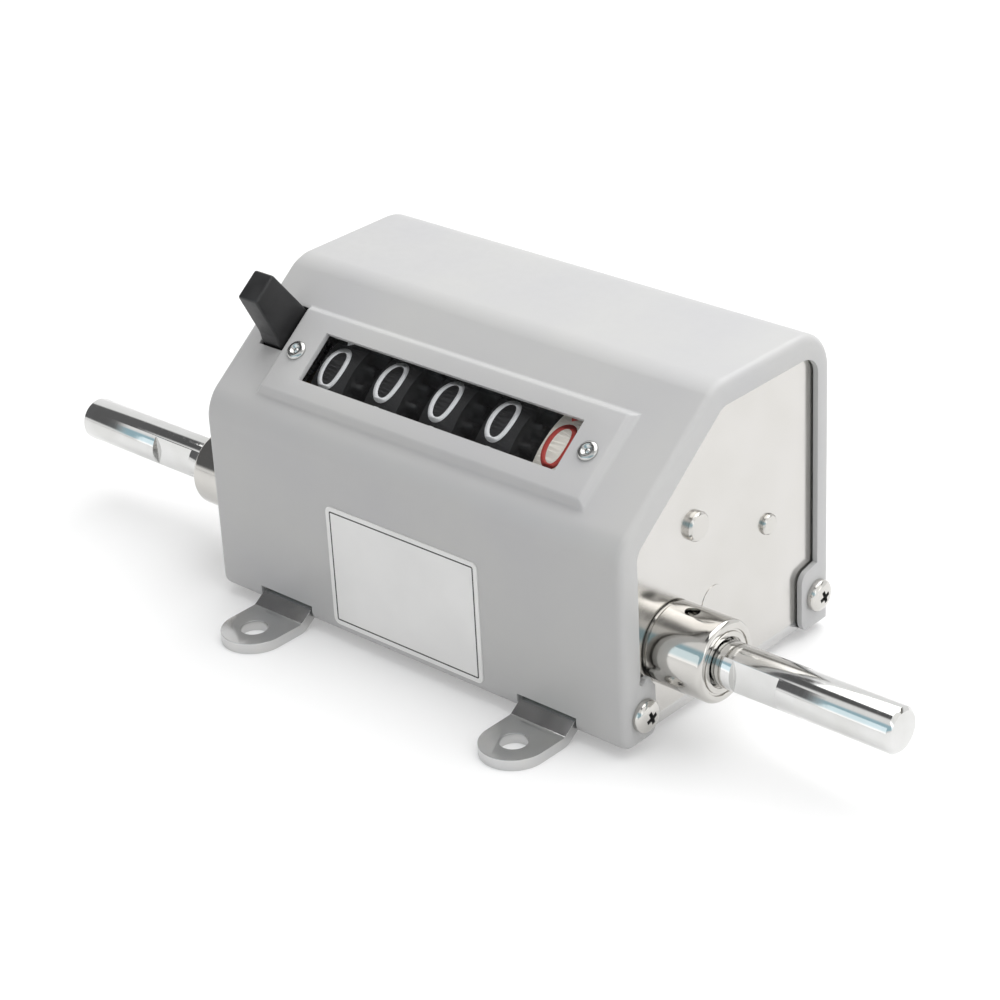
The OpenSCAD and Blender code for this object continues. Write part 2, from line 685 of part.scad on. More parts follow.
// Tube with one striking finger beside each heart cam
module reset_comb() color([0.32, 0.32, 0.33]) difference() {
    union() {
        rod(arm_left_x - 0.3, last_cam + 0.2, rock_at, tube_r);
        for (number = [1:wheel_count]) {
            x = (number - 3) * wheel_pitch + gear_end + 0.25;
            across(x, x + 1.1, rock_at) {
                rotate(finger_dir) translate([0, -finger_half])
                    square([finger_len, 2 * finger_half]);
                circle(r = tube_r + 1.1);
            }
        }
    }
    rod(-case_w, case_w, rock_at, rock_r);
}
module rock_shaft() color([0.8, 0.79, 0.77]) {
    end = plate_out + 0.8;
    chamfer = 0.3;
    turned(rock_at) polygon([[0, -end], [rock_r - chamfer, -end], [rock_r, chamfer - end],
        [rock_r, end - chamfer], [rock_r - chamfer, end], [0, end]]);
}
module rock_clips() color([0.35, 0.35, 0.36]) both_ends() {
    tube(plate_in - 0.9, plate_in - 0.2, rock_at, rock_r + 1.6, rock_r);
}

// Push key: a plastic cap on a slotted steel blade that slides along the slope's normal
module reset_key() color([0.17, 0.17, 0.17]) on_slope() {
    lean = 2.4;
    difference() {
        translate([key_x, 0, 0]) rotate([90, 0, 90]) linear_extrude(key_w)
            polygon([[key_low, -key_in], [key_high, -key_in], [key_high, 0.8],
                [key_high - 0.2, key_h], [key_low + lean, key_h], [key_low, 0.8]]);
        translate([blade_x, key_low + 2, -key_in - 1]) cube([blade_t, 4.5, key_in + 4]);
    }
}
module key_blade() color([0.68, 0.68, 0.67]) on_slope() {
    left = arbor_s[0] - arbor_r - 1.7;
    leg = 3.4;
    low = pin_s[1] - pinion_rod_r - 1.4;
    difference() {
        translate([blade_x, 0, 0]) rotate([90, 0, 90]) linear_extrude(blade_t) {
            polygon([[left, -key_in], [left, arbor_s[1] - 3], [pin_s[0] - leg, pin_s[1] + 8],
                [pin_s[0] - leg, low], [pin_s[0] + leg, low], [pin_s[0] + leg, pin_s[1] + 7],
                [arbor_s[0] + arbor_r + 1.7, arbor_s[1] - 5], [key_high - 0.4, arbor_s[1] + 2],
                [key_high - 0.4, -key_in]]);
            translate([key_low + 2, -key_in - 1]) square([4.5, key_in + 4]);
        }
        for (h = [0, key_travel]) {
            translate([blade_x - 1, arbor_s[0], arbor_s[1] + h]) rotate([0, 90, 0])
                cylinder(h = blade_t + 2, r = arbor_r + 0.15);
        }
        translate([blade_x - 1, arbor_s[0] - arbor_r - 0.15, arbor_s[1]])
            cube([blade_t + 2, 2 * arbor_r + 0.3, key_travel]);
        for (s = [-0.3, 0.4]) {
            translate([blade_x - 1, pin_s[0] + s, pin_s[1]]) rotate([0, 90, 0])
                cylinder(h = blade_t + 2, r = pinion_rod_r + 0.12);
        }
        translate([blade_x - 1, pin_s[0] - 0.3, pin_s[1] - pinion_rod_r - 0.12])
            cube([blade_t + 2, 0.7, 2 * pinion_rod_r + 0.24]);
        translate([blade_x - 1, spring_s, stud_h]) rotate([0, 90, 0])
            cylinder(h = blade_t + 2, r = 0.9);
    }
}
post_at = from_slope([spring_s, post_h]);
stud_at = from_slope([spring_s, stud_h]);
module blade_stud() color([0.75, 0.75, 0.74]) {
    rod(-plate_in + 0.35, blade_x + blade_t, stud_at, 0.9);
    rod(-plate_in + 0.35, -plate_in + 0.75, stud_at, 1.1);
}
module spring_post() color([0.75, 0.75, 0.74]) {
    rod(-plate_out, blade_x - 0.5, post_at, 0.9);
    rod(blade_x - 0.9, blade_x - 0.5, post_at, 1.1);
}
// Close-wound extension spring with a round eye at each end
module return_spring() color([0.55, 0.56, 0.58]) {
    wire = 0.5;
    coil_r = 1.1;
    eye_r = 1.2;
    low = stud_h + eye_r;
    high = post_h - eye_r;
    turns = floor((high - low) / wire);
    step = (high - low) / turns;
    grooves = [for (k = [0:turns - 1]) each [[coil_r, low + k * step],
        [coil_r + wire / 2, low + (k + 0.5) * step]]];
    on_slope() translate([spring_x, spring_s, 0]) {
        difference() {
            rotate_extrude() polygon(concat(grooves, [[coil_r, high], [0, high], [0, low]]));
            translate([0, 0, low - 1]) cylinder(h = high - low + 2, r = coil_r - wire / 2);
        }
        for (h = [stud_h, post_h]) translate([0, 0, h]) rotate([0, 90, 0]) rotate_extrude()
            translate([eye_r, 0]) circle(r = wire / 2, $fn = 16);
        for (h = [low, high]) translate([-wire / 2, -coil_r, h - wire / 2])
            cube([wire, 2 * coil_r, wire]);
    }
}

cover();
window_pane();
window_rivets();
label_plate();
cover_screws();
base_plate();
base_rivets();
side_plate_left();
side_plate_right();
plate_plugs();
bush_left();
bush_right();
bush_nuts();
drive_shaft();
drive_gear();
gear_pin();
shaft_collar();
collar_screw();
wheel_arbor();
spacer_left();
spacer_right();
clutch_washer();
input_gear();
wheel_1();
wheel_2();
wheel_3();
wheel_4();
wheel_5();
pinion_1();
pinion_2();
pinion_3();
pinion_4();
pinion_shaft();
pinion_spacers();
frame_arm_left();
frame_arm_right();
reset_comb();
rock_shaft();
rock_clips();
reset_key();
key_blade();
blade_stud();
spring_post();
return_spring();
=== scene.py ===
"""Looks of the mechanical length counter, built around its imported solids."""

import math

import bmesh
import bpy
from mathutils import Matrix, Vector


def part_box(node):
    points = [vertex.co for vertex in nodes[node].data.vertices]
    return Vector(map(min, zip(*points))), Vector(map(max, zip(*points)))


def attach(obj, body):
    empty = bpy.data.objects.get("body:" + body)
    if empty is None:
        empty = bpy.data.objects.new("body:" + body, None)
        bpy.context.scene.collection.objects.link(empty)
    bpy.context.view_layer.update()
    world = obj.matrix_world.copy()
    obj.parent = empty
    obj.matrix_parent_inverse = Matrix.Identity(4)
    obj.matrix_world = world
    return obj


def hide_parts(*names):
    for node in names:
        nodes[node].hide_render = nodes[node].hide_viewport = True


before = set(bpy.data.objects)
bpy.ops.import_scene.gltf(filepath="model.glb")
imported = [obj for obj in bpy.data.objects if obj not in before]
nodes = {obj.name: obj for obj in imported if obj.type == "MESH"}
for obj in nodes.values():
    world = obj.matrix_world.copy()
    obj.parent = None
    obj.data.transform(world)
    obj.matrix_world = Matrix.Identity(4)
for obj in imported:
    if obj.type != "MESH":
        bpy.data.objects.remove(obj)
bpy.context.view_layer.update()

MM = 0.001


def middle_of(node):
    """The middle of a CAD node's box, in millimetres."""
    low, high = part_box(node)
    return (low + high) / 2 / MM


# The case section, in millimetres: the sloping face starts at the front wall's top bend
COVER_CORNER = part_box("cover")[1] / MM
CASE_HALF = round(COVER_CORNER.x, 1)
BACK_Y = round(COVER_CORNER.y, 1)
FRONT_Y = -BACK_Y
COVER_LOW, CASE_TOP = 1.5, 58.382
TOP_FLAT = 30.8
SLOPE = math.radians(37.5)
FRONT_TOP = CASE_TOP - (BACK_Y - TOP_FLAT - FRONT_Y) * math.tan(SLOPE)
UP_SLOPE = Vector((0, math.cos(SLOPE), math.sin(SLOPE)))
OFF_SLOPE = Vector((0, -math.sin(SLOPE), math.cos(SLOPE)))
SLOPE_START = Vector((0, FRONT_Y, FRONT_TOP))
SHEET = 1.0
FLANGE_W, REAR_FLANGE_W, FLANGE_EDGE, CURL = 4.4, 3.5, 1.3, 2.2
BEND_FRONT, BEND_TOP, BEND_BACK = 7.0, 7.0, 8.0
BEZEL_HALF_W, BEZEL_HALF_H, BEZEL_LEAN, BEZEL_RISE = 37.6, 9.3, 1.0, 1.5
WINDOW_HALF_W, WINDOW_HALF_H = 29.5, 4.9
FRONT_TAB_W, FRONT_TAB_TOP = 8.1, 13.2
REAR_TAB_W, REAR_TAB_TOP, TAB_ROUND = 8.0, 13.1, 3.0

# Shafts and wheels
SHAFT_Y, SHAFT_Z = middle_of("drive_shaft").yz
WHEEL_Y, WHEEL_Z = middle_of("wheel_arbor").yz
ROCK_Y, ROCK_Z = middle_of("rock_shaft").yz
WINDOW_S = (Vector((0, WHEEL_Y, WHEEL_Z)) - SLOPE_START).dot(UP_SLOPE)
SHAFT_R, BUSH_R, WHEEL_R, ARBOR_R, ROCK_R = 4.0, 7.2, 15.0, 2.6, 1.85
WHEEL_PITCH = 12.9
DIGIT_X = -0.3
PLATE_IN, PLATE_OUT = 44.9, 46.5
BUSH_OUT_RIGHT, BUSH_OUT_LEFT = 11.5, 15

# Cover screws, as places across and up an end, and their heads
FRONT_SCREW, REAR_SCREW = (FRONT_Y + 4.9, 6.9), (BACK_Y - 3.7, 8.0)
HEAD_R, HEAD_EDGE, DOME = 2.9, 0.8, 1.1
RECESS_HALF_L, RECESS_HALF_W, RECESS_FLOOR = 1.5, 0.42, 0.4

# Base sheet and its lugs
FLOOR_T, FLOOR_TOP = 2.0, 4.2
FLOOR_FRONT, FLOOR_BACK = FRONT_Y + 2.6, BACK_Y - 1.3
LUG_X, LUG_R, LUG_HOLE_R = 30.9, 6.0, 2.5
LUG_BEND, LUG_FALL = BACK_Y - 0.8, 3.2
HOLE_Y = BACK_Y + 8.3

# Window rivets, and the label with its printed border
RIVET_X = 33.4
LABEL_LEFT, LABEL_RIGHT, LABEL_LOW, LABEL_HIGH = -18.5, 16.9, 3.7, 27.0
LABEL_T, LABEL_ROUND = 0.2, 1.2
BORDER_IN, BORDER_W = 0.85, 0.28

# Key, across and up the sloping face
KEY_LEFT, KEY_RIGHT = -42.9, -38.2
KEY_LOW, KEY_HIGH = WINDOW_S, WINDOW_S + 8.5
KEY_TOP, KEY_WAIST, KEY_FOOT, KEY_SUNK = 11.5, 2.6, 0.8, -4.5
KEY_GAP = 0.4


def at(x, y, z):
    """A place given in millimetres."""
    return Vector((x, y, z)) * MM


def slope_at(x, s, h):
    """A place x across, s up the sloping face and h above it."""
    return (SLOPE_START + UP_SLOPE * s + OFF_SLOPE * h + Vector((x, 0, 0))) * MM


def slope_of(point):
    """(x, s, h) of a point, in millimetres."""
    p = point / MM - SLOPE_START
    return p.x, p.dot(UP_SLOPE), p.dot(OFF_SLOPE)


# Modelling


def take(*pieces):
    bpy.ops.object.select_all(action="DESELECT")
    for piece in pieces:
        piece.select_set(True)
    bpy.context.view_layer.objects.active = pieces[0]


def named(name):
    """The primitive just added, named, with its place in its mesh."""
    piece = bpy.context.object
    piece.name = piece.data.name = name
    take(piece)
    bpy.ops.object.transform_apply(location=True, rotation=True, scale=True)
    return piece


def block(name, low, high):
    """A box between two corners."""
    bpy.ops.mesh.primitive_cube_add(size=1, location=(low + high) / 2, scale=high - low)
    return named(name)


def slope_block(name, low, high):
    """A box on the sloping face, between two (x, s, h) corners."""
    low, high = Vector(low), Vector(high)
    bpy.ops.mesh.primitive_cube_add(size=1, location=slope_at(*(low + high) / 2), rotation=(SLOPE, 0, 0),
        scale=(high - low) * MM)
    return named(name)


def drum(name, start, end, radius, sides=96):
    """A cylinder between two points, with its ends closed."""
    way = end - start
    bpy.ops.mesh.primitive_cylinder_add(vertices=sides, radius=radius * MM, depth=way.length,
        location=(start + end) / 2, rotation=way.to_track_quat("Z", "Y").to_euler())
    return named(name)


def edit(piece):
    take(piece)
    bpy.ops.object.mode_set(mode="EDIT")


def leave():
    bpy.ops.object.mode_set(mode="OBJECT")


def middle(part):
    if isinstance(part, bmesh.types.BMVert):
        return part.co
    return sum((v.co for v in part.verts), Vector()) / len(part.verts)


def pick(kind, test):
    """Selects the faces, edges or points of the piece in edit mode that pass the test."""
    bpy.ops.mesh.select_mode(type=kind)
    bpy.ops.mesh.select_all(action="DESELECT")
    data = bpy.context.object.data
    mesh = bmesh.from_edit_mesh(data)
    for part in {"FACE": mesh.faces, "EDGE": mesh.edges, "VERT": mesh.verts}[kind]:
        if test(part):
            part.select_set(True)
    bmesh.update_edit_mesh(data)


def cut(place, normal):
    """Splits what is selected along a plane."""
    bpy.ops.mesh.bisect(plane_co=place, plane_no=normal, use_fill=False)


def move(way):
    bpy.ops.transform.translate(value=way)


def extrude(way):
    bpy.ops.mesh.extrude_region_move(TRANSFORM_OT_translate={"value": way})


def modifier(piece, kind, **settings):
    """Adds a modifier with these settings and applies it."""
    take(piece)
    made = piece.modifiers.new(kind.lower(), kind)
    for key, value in settings.items():
        setattr(made, key, value)
    bpy.ops.object.modifier_apply(modifier=made.name)


def cut_away(piece, *cutters):
    """Takes the cutters' shapes out of the piece, and removes the cutters."""
    for cutter in cutters:
        modifier(piece, "BOOLEAN", operation="DIFFERENCE", solver="EXACT", object=cutter)
        bpy.data.objects.remove(cutter)


def soften(piece, width, segments=3, angle=35):
    """Rounds the edges sharper than the angle, and shades the rest smooth."""
    modifier(piece, "BEVEL", width=width * MM, segments=segments, limit_method="ANGLE",
        angle_limit=math.radians(angle), use_clamp_overlap=True, harden_normals=False)
    smooth(piece, 32)


def smooth(piece, angle):
    take(piece)
    bpy.ops.object.shade_smooth_by_angle(angle=math.radians(angle), keep_sharp_edges=False)


def face_out(piece, reach=0.0005):
    """Merges points that lie within reach of each other, and turns every face outward."""
    edit(piece)
    bpy.ops.mesh.select_all(action="SELECT")
    bpy.ops.mesh.remove_doubles(threshold=reach * MM)
    bpy.ops.mesh.normals_make_consistent(inside=False)
    leave()


def copy_of(piece, name, matrix):
    """A copy with its own mesh, placed by the matrix."""
    twin = piece.copy()
    twin.data = piece.data.copy()
    twin.name = twin.data.name = name
    bpy.context.collection.objects.link(twin)
    twin.data.transform(matrix)
    if matrix.determinant() < 0:
        face_out(twin)
    return twin


def facing(direction, origin=Vector()):
    """The matrix that lays what was built along X along the direction, from the origin."""
    return Matrix.Translation(origin) @ direction.to_track_quat("X", "Z").to_matrix().to_4x4()


def turned(name, stations, place=Matrix(), sides=96):
    """A body turned about the X axis, from a closed loop of (x, radius) stations, then placed."""
    bpy.ops.mesh.primitive_circle_add(vertices=len(stations), radius=MM, fill_type="NOTHING")
    piece = named(name)
    for vert, (x, radius) in zip(piece.data.vertices, stations):
        vert.co = at(x, 0, radius)
    edit(piece)
    bpy.ops.mesh.select_all(action="SELECT")
    bpy.ops.mesh.spin(steps=sides, angle=2 * math.pi, center=(0, 0, 0), axis=(1, 0, 0))
    leave()
    piece.data.transform(place)
    face_out(piece)
    return piece


def arc(x, radius, size, start, end, steps=5):
    """Stations along a rounded corner with its centre at (x, radius), angles from the X axis."""
    turns = [math.radians(start + (end - start) * k / steps) for k in range(steps + 1)]
    return [(x + size * math.cos(t), radius + size * math.sin(t)) for t in turns]


def merged(node):
    """A smooth-shaded copy of a CAD node that stands for it."""
    piece = copy_of(nodes[node], node + "_body", Matrix())
    for key in list(piece.keys()):
        del piece[key]
    piece.parent = None
    face_out(piece, 0.004)
    smooth(piece, 30)
    return piece


# Materials


def srgb(*levels):
    """A colour given as 0 to 255 levels."""
    return [((v / 255 + 0.055) / 1.055) ** 2.4 if v > 10 else v / 255 / 12.92 for v in levels] + [1]


class Level:
    """A number that varies over a surface, with Python's operators."""

    def __init__(self, web, socket):
        self.web, self.socket = web, socket

    def math(self, operation, *values):
        made = self.web.node("ShaderNodeMath", {"operation": operation}, dict(enumerate(values)))
        return Level(self.web, made.outputs[0])

    def __add__(self, other):
        return self.math("ADD", self, other)

    def __sub__(self, other):
        return self.math("SUBTRACT", self, other)

    def __rsub__(self, other):
        return self.math("SUBTRACT", other, self)

    def __mul__(self, other):
        return self.math("MULTIPLY", self, other)

    __radd__ = __add__
    __rmul__ = __mul__


class Web:
    """The nodes of a material or of the world."""

    def __init__(self, tree):
        self.tree = tree
        self.place = self.node("ShaderNodeTexCoord").outputs["Object"]

    def link(self, value, socket):
        if isinstance(value, Level):
            value = value.socket
        if isinstance(value, bpy.types.NodeSocket):
            self.tree.links.new(value, socket)
        else:
            socket.default_value = value

    def node(self, kind, settings=(), values=()):
        made = self.tree.nodes.new(kind)
        for key, value in dict(settings).items():
            setattr(made, key, value)
        for key, value in dict(values).items():
            self.link(value, made.inputs[key])
        return made

    def spread(self, level, low, high, new_low=0.0, new_high=1.0):
        """The level from low to high, stretched to the new range and held there."""
        made = self.node("ShaderNodeMapRange", {"clamp": True}, dict(enumerate(
            [level, low, high, new_low, new_high])))
        return Level(self, made.outputs[0])

    def mix(self, factor, colour_a, colour_b):
        made = self.node("ShaderNodeMix", {"data_type": "RGBA"})
        self.link(factor, made.inputs[0])
        self.link(colour_a, made.inputs[6])
        self.link(colour_b, made.inputs[7])
        return made.outputs[2]


class Finish(Web):
    """One material on the principled shader."""

    def __init__(self, name, colour, roughness, metallic=0.0):
        self.made = bpy.data.materials.new(name)
        self.made.use_nodes = True
        super().__init__(self.made.node_tree)
        self.shader = self.tree.nodes["Principled BSDF"]
        self.set("Base Color", colour)
        self.set("Roughness", roughness)
        self.set("Metallic", metallic)

    def set(self, name, value):
        self.link(value, self.shader.inputs[name])

    def noise(self, size, detail=2.0, stretch=(1, 1, 1)):
        """Noise from 0 to 1 with features of that size in millimetres."""
        scaled = self.node("ShaderNodeMapping", {}, {"Vector": self.place, "Scale": stretch})
        made = self.node("ShaderNodeTexNoise", {},
            {"Vector": scaled.outputs[0], "Scale": 1 / (size * MM), "Detail": detail})
        return Level(self, made.outputs[0])

    def bump(self, height, depth):
        """Bumps of that depth in millimetres where the height goes from 0 to 1."""
        made = self.node("ShaderNodeBump", {}, {"Height": height, "Distance": depth * MM, "Strength": 1})
        self.set("Normal", made.outputs[0])

    def on(self, *pieces):
        for piece in pieces:
            piece.data.materials.clear()
            piece.data.materials.append(self.made)


def paint(name, level, roughness=0.38):
    """Satin stoved paint with a faint orange peel."""
    finish = Finish(name, srgb(level, level, level), roughness)
    cloud = finish.noise(26, 3)
    finish.set("Base Color", finish.mix(finish.spread(cloud, 0.35, 0.65),
        srgb(level - 2, level - 2, level - 1), srgb(level + 2, level + 2, level + 1)))
    finish.set("Roughness", finish.spread(finish.noise(1.6, 2), 0.3, 0.7, roughness - 0.05, roughness + 0.05))
    finish.bump(finish.noise(0.9, 2), 0.006)
    return finish


def bright_metal(name, levels, roughness, grain=(1, 1, 1), spots=0.03, size=1.5):
    """Plated steel with faint drawn lines and a little clouding."""
    finish = Finish(name, srgb(*levels), roughness, 1.0)
    cloud = finish.spread(finish.noise(9, 4), 0.35, 0.7)
    finish.set("Base Color", finish.mix(cloud, srgb(*levels), srgb(*[v - 255 * spots for v in levels])))
    lines = finish.noise(size, 3, grain)
    finish.set("Roughness", finish.spread(lines, 0.3, 0.7, roughness * 0.7, roughness * 1.3))
    finish.bump(lines, 0.004)
    return finish


def plastic(name, levels, roughness, grain=0.35, depth=0.01):
    """Moulded plastic with a fine eroded texture."""
    finish = Finish(name, srgb(*levels), roughness)
    worn = finish.spread(finish.noise(3.5, 4), 0.4, 0.75)
    finish.set("Base Color", finish.mix(worn, srgb(*levels), srgb(*[v + 6 for v in levels])))
    finish.set("Roughness", finish.spread(finish.noise(2.2, 3), 0.3, 0.7, roughness - 0.06, roughness + 0.06))
    finish.bump(finish.noise(grain, 3), depth)
    return finish


def clear_pane():
    """Clear sheet: mostly see-through, with reflections that grow towards grazing angles."""
    finish = Finish("clear_pane", srgb(255, 255, 255), 0.04, 1.0)
    slant = Level(finish, finish.node("ShaderNodeLayerWeight", {}, {"Blend": 0.5}).outputs["Facing"])
    finish.set("Alpha", slant.math("POWER", slant, 5) * 0.5 + 0.02)
    return finish


def label_paper():
    """White self-adhesive film with a slight sheen."""
    finish = Finish("label_film", srgb(238, 238, 237), 0.32)
    cloud = finish.spread(finish.noise(14, 3), 0.35, 0.7)
    finish.set("Base Color", finish.mix(cloud, srgb(240, 240, 239), srgb(234, 234, 233)))
    finish.set("Roughness", finish.spread(finish.noise(1.1, 2), 0.3, 0.7, 0.28, 0.36))
    finish.bump(finish.noise(1.8, 2), 0.004)
    return finish


def label_ink():
    finish = Finish("label_border_ink", srgb(38, 38, 40), 0.4)
    finish.set("Roughness", finish.spread(finish.noise(0.8, 2), 0.3, 0.7, 0.34, 0.46))
    return finish


def lug_metal():
    """Zinc plated base sheet, a little blotched."""
    finish = Finish("zinc_sheet", srgb(203, 203, 203), 0.3, 1.0)
    blot = finish.noise(4.5, 4)
    finish.set("Base Color", finish.mix(finish.spread(blot, 0.35, 0.7),
        srgb(200, 200, 200), srgb(206, 205, 203)))
    finish.set("Roughness", finish.spread(finish.noise(3, 2), 0.3, 0.7, 0.2, 0.26))
    finish.bump(finish.noise(2.5, 2), 0.002)
    return finish


def shaft_steel():
    """Ground and plated steel, with faint turning marks."""
    finish = Finish("ground_steel", srgb(216, 216, 214), 0.1, 1.0)
    lines = finish.noise(0.5, 3, (1, 0.05, 0.05))
    finish.set("Base Color", finish.mix(finish.spread(finish.noise(7, 4), 0.4, 0.7),
        srgb(218, 218, 217), srgb(210, 210, 208)))
    finish.set("Roughness", finish.spread(lines, 0.3, 0.7, 0.06, 0.14))
    finish.bump(lines, 0.0015)
    return finish


def side_nickel():
    """Nickel plated plate: smooth, slightly warm and a little cloudy."""
    finish = Finish("plate_nickel", srgb(206, 204, 201), 0.2, 1.0)
    cloud = finish.spread(finish.noise(11, 4), 0.35, 0.7)
    finish.set("Base Color", finish.mix(cloud, srgb(207, 205, 202), srgb(202, 200, 196)))
    finish.set("Roughness", finish.spread(finish.noise(6, 3), 0.3, 0.7, 0.16, 0.22))
    finish.bump(finish.noise(5, 2), 0.002)
    return finish


def finish_piece(piece, finish, body, slot, *stands_for):
    finish.on(piece)
    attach(piece, body)
    if stands_for:
        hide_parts(*stands_for)


# Cover


def make_cover():
    inner_end = CASE_HALF - FLANGE_EDGE
    piece = block("cover_shell", at(-inner_end, FRONT_Y, COVER_LOW), at(inner_end, BACK_Y, CASE_TOP))
    edit(piece)
    bpy.ops.mesh.select_all(action="SELECT")
    bpy.ops.mesh.bisect(plane_co=SLOPE_START * MM, plane_no=OFF_SLOPE, use_fill=True, clear_outer=True)
    turn_front, turn_back = math.pi / 2 - SLOPE, math.pi / 2
    for y, z, radius, turn in ((FRONT_Y, FRONT_TOP, BEND_FRONT, turn_front),
                               (BACK_Y - TOP_FLAT, CASE_TOP, BEND_TOP, SLOPE),
                               (BACK_Y, CASE_TOP, BEND_BACK, turn_back),
                               (FRONT_Y, COVER_LOW, CURL, math.pi / 2)):
        pick("EDGE", lambda e: (middle(e) - at(0, y, z)).length < 0.01 * MM)
        bpy.ops.mesh.bevel(offset_type="OFFSET", offset=radius * math.tan(turn / 2) * MM, segments=12,
            profile=0.5, affect="EDGES")
    # Both ends: a quarter round drawn inward in steps, then the flat flange, open in the middle
    pick("FACE", lambda f: abs(f.normal.x) > 0.999)
    steps = 6
    for k in range(steps):
        turn, last = [math.radians(90 * n / steps) for n in (k + 1, k)]
        bpy.ops.mesh.inset(thickness=FLANGE_EDGE * (math.cos(last) - math.cos(turn)) * MM,
            depth=FLANGE_EDGE * (math.sin(turn) - math.sin(last)) * MM, use_even_offset=True)
    end_foot = COVER_LOW + CURL + 0.3
    cut(at(0, 0, end_foot), (0, 0, 1))
    pick("FACE", lambda f: abs(f.normal.x) > 0.999 and middle(f).z > end_foot * MM)
    bpy.ops.mesh.inset(thickness=(FLANGE_W - FLANGE_EDGE) * MM)
    # Bezel on the sloping face, then the window through it
    on_face = lambda f: f.normal.dot(OFF_SLOPE) > 0.9999

    def inside(f, half_w, half_h, level):
        x, s, h = slope_of(middle(f))
        return on_face(f) and abs(x) < half_w and abs(s - WINDOW_S) < half_h and abs(h - level) < 0.05

    def split_frame(half_w, half_h, chosen):
        for x in (-half_w, half_w):
            pick("FACE", chosen)
            cut(slope_at(x, 0, 0), (1, 0, 0))
        for s in (WINDOW_S - half_h, WINDOW_S + half_h):
            pick("FACE", chosen)
            cut(slope_at(0, s, 0), UP_SLOPE)

    split_frame(BEZEL_HALF_W, BEZEL_HALF_H, on_face)
    pick("FACE", lambda f: inside(f, BEZEL_HALF_W, BEZEL_HALF_H, 0))
    bpy.ops.mesh.inset(thickness=BEZEL_LEAN * MM, depth=BEZEL_RISE * MM)
    split_frame(WINDOW_HALF_W, WINDOW_HALF_H, lambda f: inside(f, BEZEL_HALF_W, BEZEL_HALF_H, BEZEL_RISE))

    def on_bezel_edge(e):
        places = [slope_of(v.co) for v in e.verts]
        rim = [abs(abs(x) - (BEZEL_HALF_W - BEZEL_LEAN * (h > 0.7))) < 0.02 or
            abs(abs(s - WINDOW_S) - (BEZEL_HALF_H - BEZEL_LEAN * (h > 0.7))) < 0.02 for x, s, h in places]
        near = [abs(x) < BEZEL_HALF_W + 0.1 and abs(s - WINDOW_S) < BEZEL_HALF_H + 0.1
            for x, s, h in places]
        faces = [f.normal for f in e.link_faces]
        return all(rim) and all(near) and len(faces) == 2 and faces[0].angle(faces[1]) > 0.3

    pick("EDGE", on_bezel_edge)
    bpy.ops.mesh.bevel(offset_type="OFFSET", offset=0.4 * MM, segments=4, profile=0.5, affect="EDGES")
    pick("FACE", lambda f: inside(f, WINDOW_HALF_W, WINDOW_HALF_H, BEZEL_RISE))
    bpy.ops.mesh.delete(type="FACE")
    # Screw tabs: strips of the end's middle that stay, the rear one with a rounded lower corner
    open_face = lambda f: abs(f.normal.x) > 0.999 and f.calc_area() > 300 * MM * MM
    foot = lambda f: abs(middle(f).x) > inner_end * MM and middle(f).z < (end_foot + FLANGE_W) * MM
    for y in (FRONT_Y + FRONT_TAB_W, BACK_Y - REAR_TAB_W):
        pick("FACE", lambda f: open_face(f) or foot(f))
        cut(at(0, y, 0), (0, 1, 0))
    between = lambda f: (FRONT_Y + FRONT_TAB_W) * MM < middle(f).y < (BACK_Y - REAR_TAB_W) * MM
    in_strip = lambda f, low, high: (abs(f.normal.x) > 0.999 and low < middle(f).y / MM < high
        and f.calc_area() > 10 * MM * MM)
    front_strip = lambda f: in_strip(f, FRONT_Y + FLANGE_W, FRONT_Y + FRONT_TAB_W)
    rear_strip = lambda f: in_strip(f, BACK_Y - REAR_TAB_W, BACK_Y - FLANGE_W)
    pick("FACE", front_strip)
    cut(at(0, 0, FRONT_TAB_TOP), (0, 0, 1))
    pick("FACE", rear_strip)
    cut(at(0, BACK_Y - REAR_TAB_W, REAR_TAB_TOP), (0, -0.3, 1))
    under = lambda f: f.normal.z < -0.999 and middle(f).z < (COVER_LOW + 0.01) * MM
    pick("FACE", lambda f: open_face(f) or under(f) or (foot(f) and between(f))
        or (front_strip(f) and middle(f).z > FRONT_TAB_TOP * MM)
        or (rear_strip(f) and middle(f).z > (REAR_TAB_TOP + 2) * MM))
    bpy.ops.mesh.delete(type="FACE")
    pick("VERT", lambda v: (v.co.yz - at(0, BACK_Y - REAR_TAB_W, REAR_TAB_TOP).yz).length < 0.02 * MM)
    bpy.ops.mesh.bevel(offset=1.6 * MM, segments=5, profile=0.5, affect="VERTICES")
    # The rear flange is narrower than the others above its tab
    pick("VERT", lambda v: v.is_boundary and abs(v.co.x) > (CASE_HALF - 0.01) * MM
        and v.co.z > (REAR_TAB_TOP + 0.5) * MM
        and -0.01 < v.co.y / MM - BACK_Y + BEND_BACK < BEND_BACK - FLANGE_W + 0.01)
    bpy.ops.transform.resize(value=(1, (BEND_BACK - REAR_FLANGE_W) / (BEND_BACK - FLANGE_W), 1),
        center_override=at(0, BACK_Y - BEND_BACK, 0))
